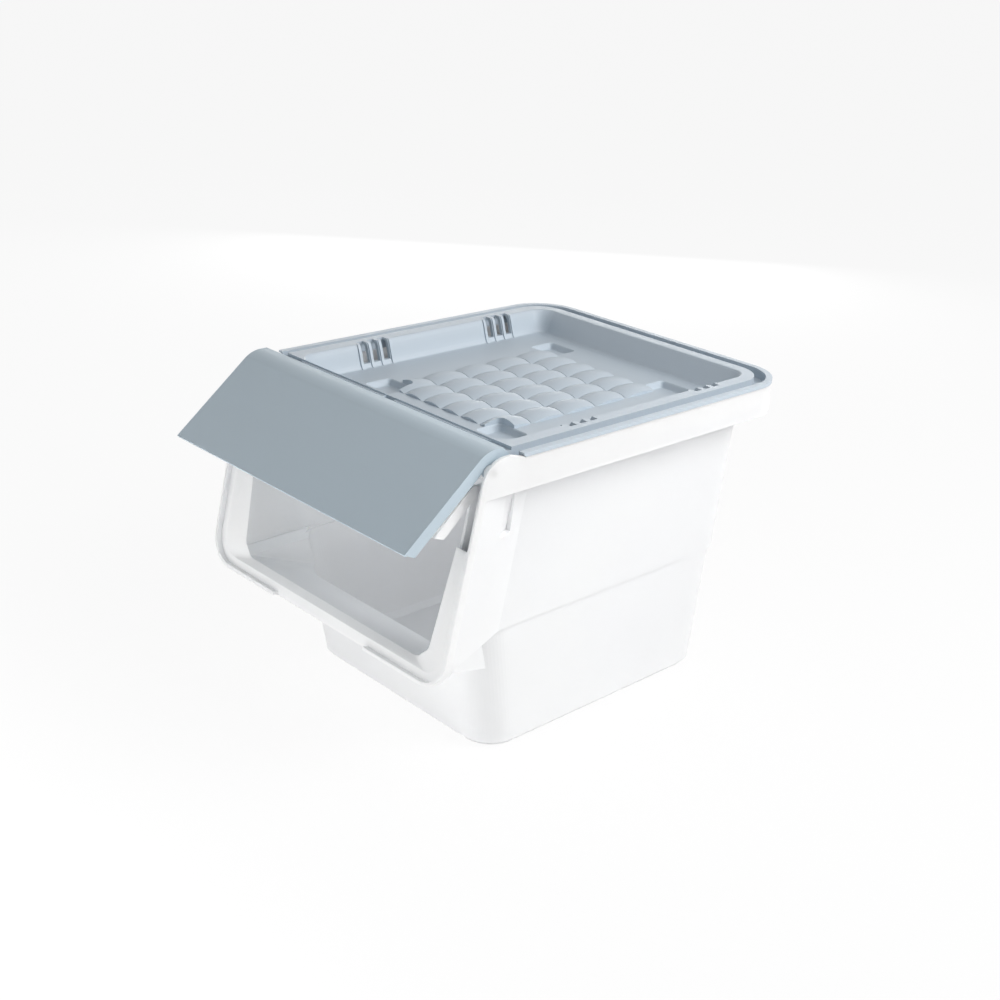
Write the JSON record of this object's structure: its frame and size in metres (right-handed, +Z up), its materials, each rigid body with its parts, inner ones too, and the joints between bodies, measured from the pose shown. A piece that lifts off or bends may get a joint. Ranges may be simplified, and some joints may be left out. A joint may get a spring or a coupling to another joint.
{
  "type": "front-opening storage bin",
  "caption": "Stacking storage bin with a raked front mouth, lift-off tray lid with quilted floor, and a narrow hinged front door.",
  "frame": {"origin": "middle of the flat base underside", "axes": "+X across the bin to its right side as seen from the mouth, +Y from the mouth to the back, +Z up"},
  "size_m": [0.28, 0.3933, 0.2616],
  "materials": {
    "white_plastic": "satin",
    "blue_grey_plastic": "satin"
  },
  "bodies": {
    "tub": {"body_tub": "white_plastic"},
    "lid": {"lid_tray": "blue_grey_plastic"},
    "door": {"door_panel": "blue_grey_plastic", "arm_left": "white_plastic", "arm_right": "white_plastic"}
  },
  "joints": [
    {"name": "door_hinge", "type": "hinge", "parent": "tub", "child": "door", "pos_m": [0, -0.1646, 0.2472], "axis": [1, 0, 0], "range_deg": [0, 38.6]},
    {"name": "lid_lift", "type": "slide", "parent": "tub", "child": "lid", "axis": [0, 0, 1], "range_m": [0, 0.06]}
  ]
}
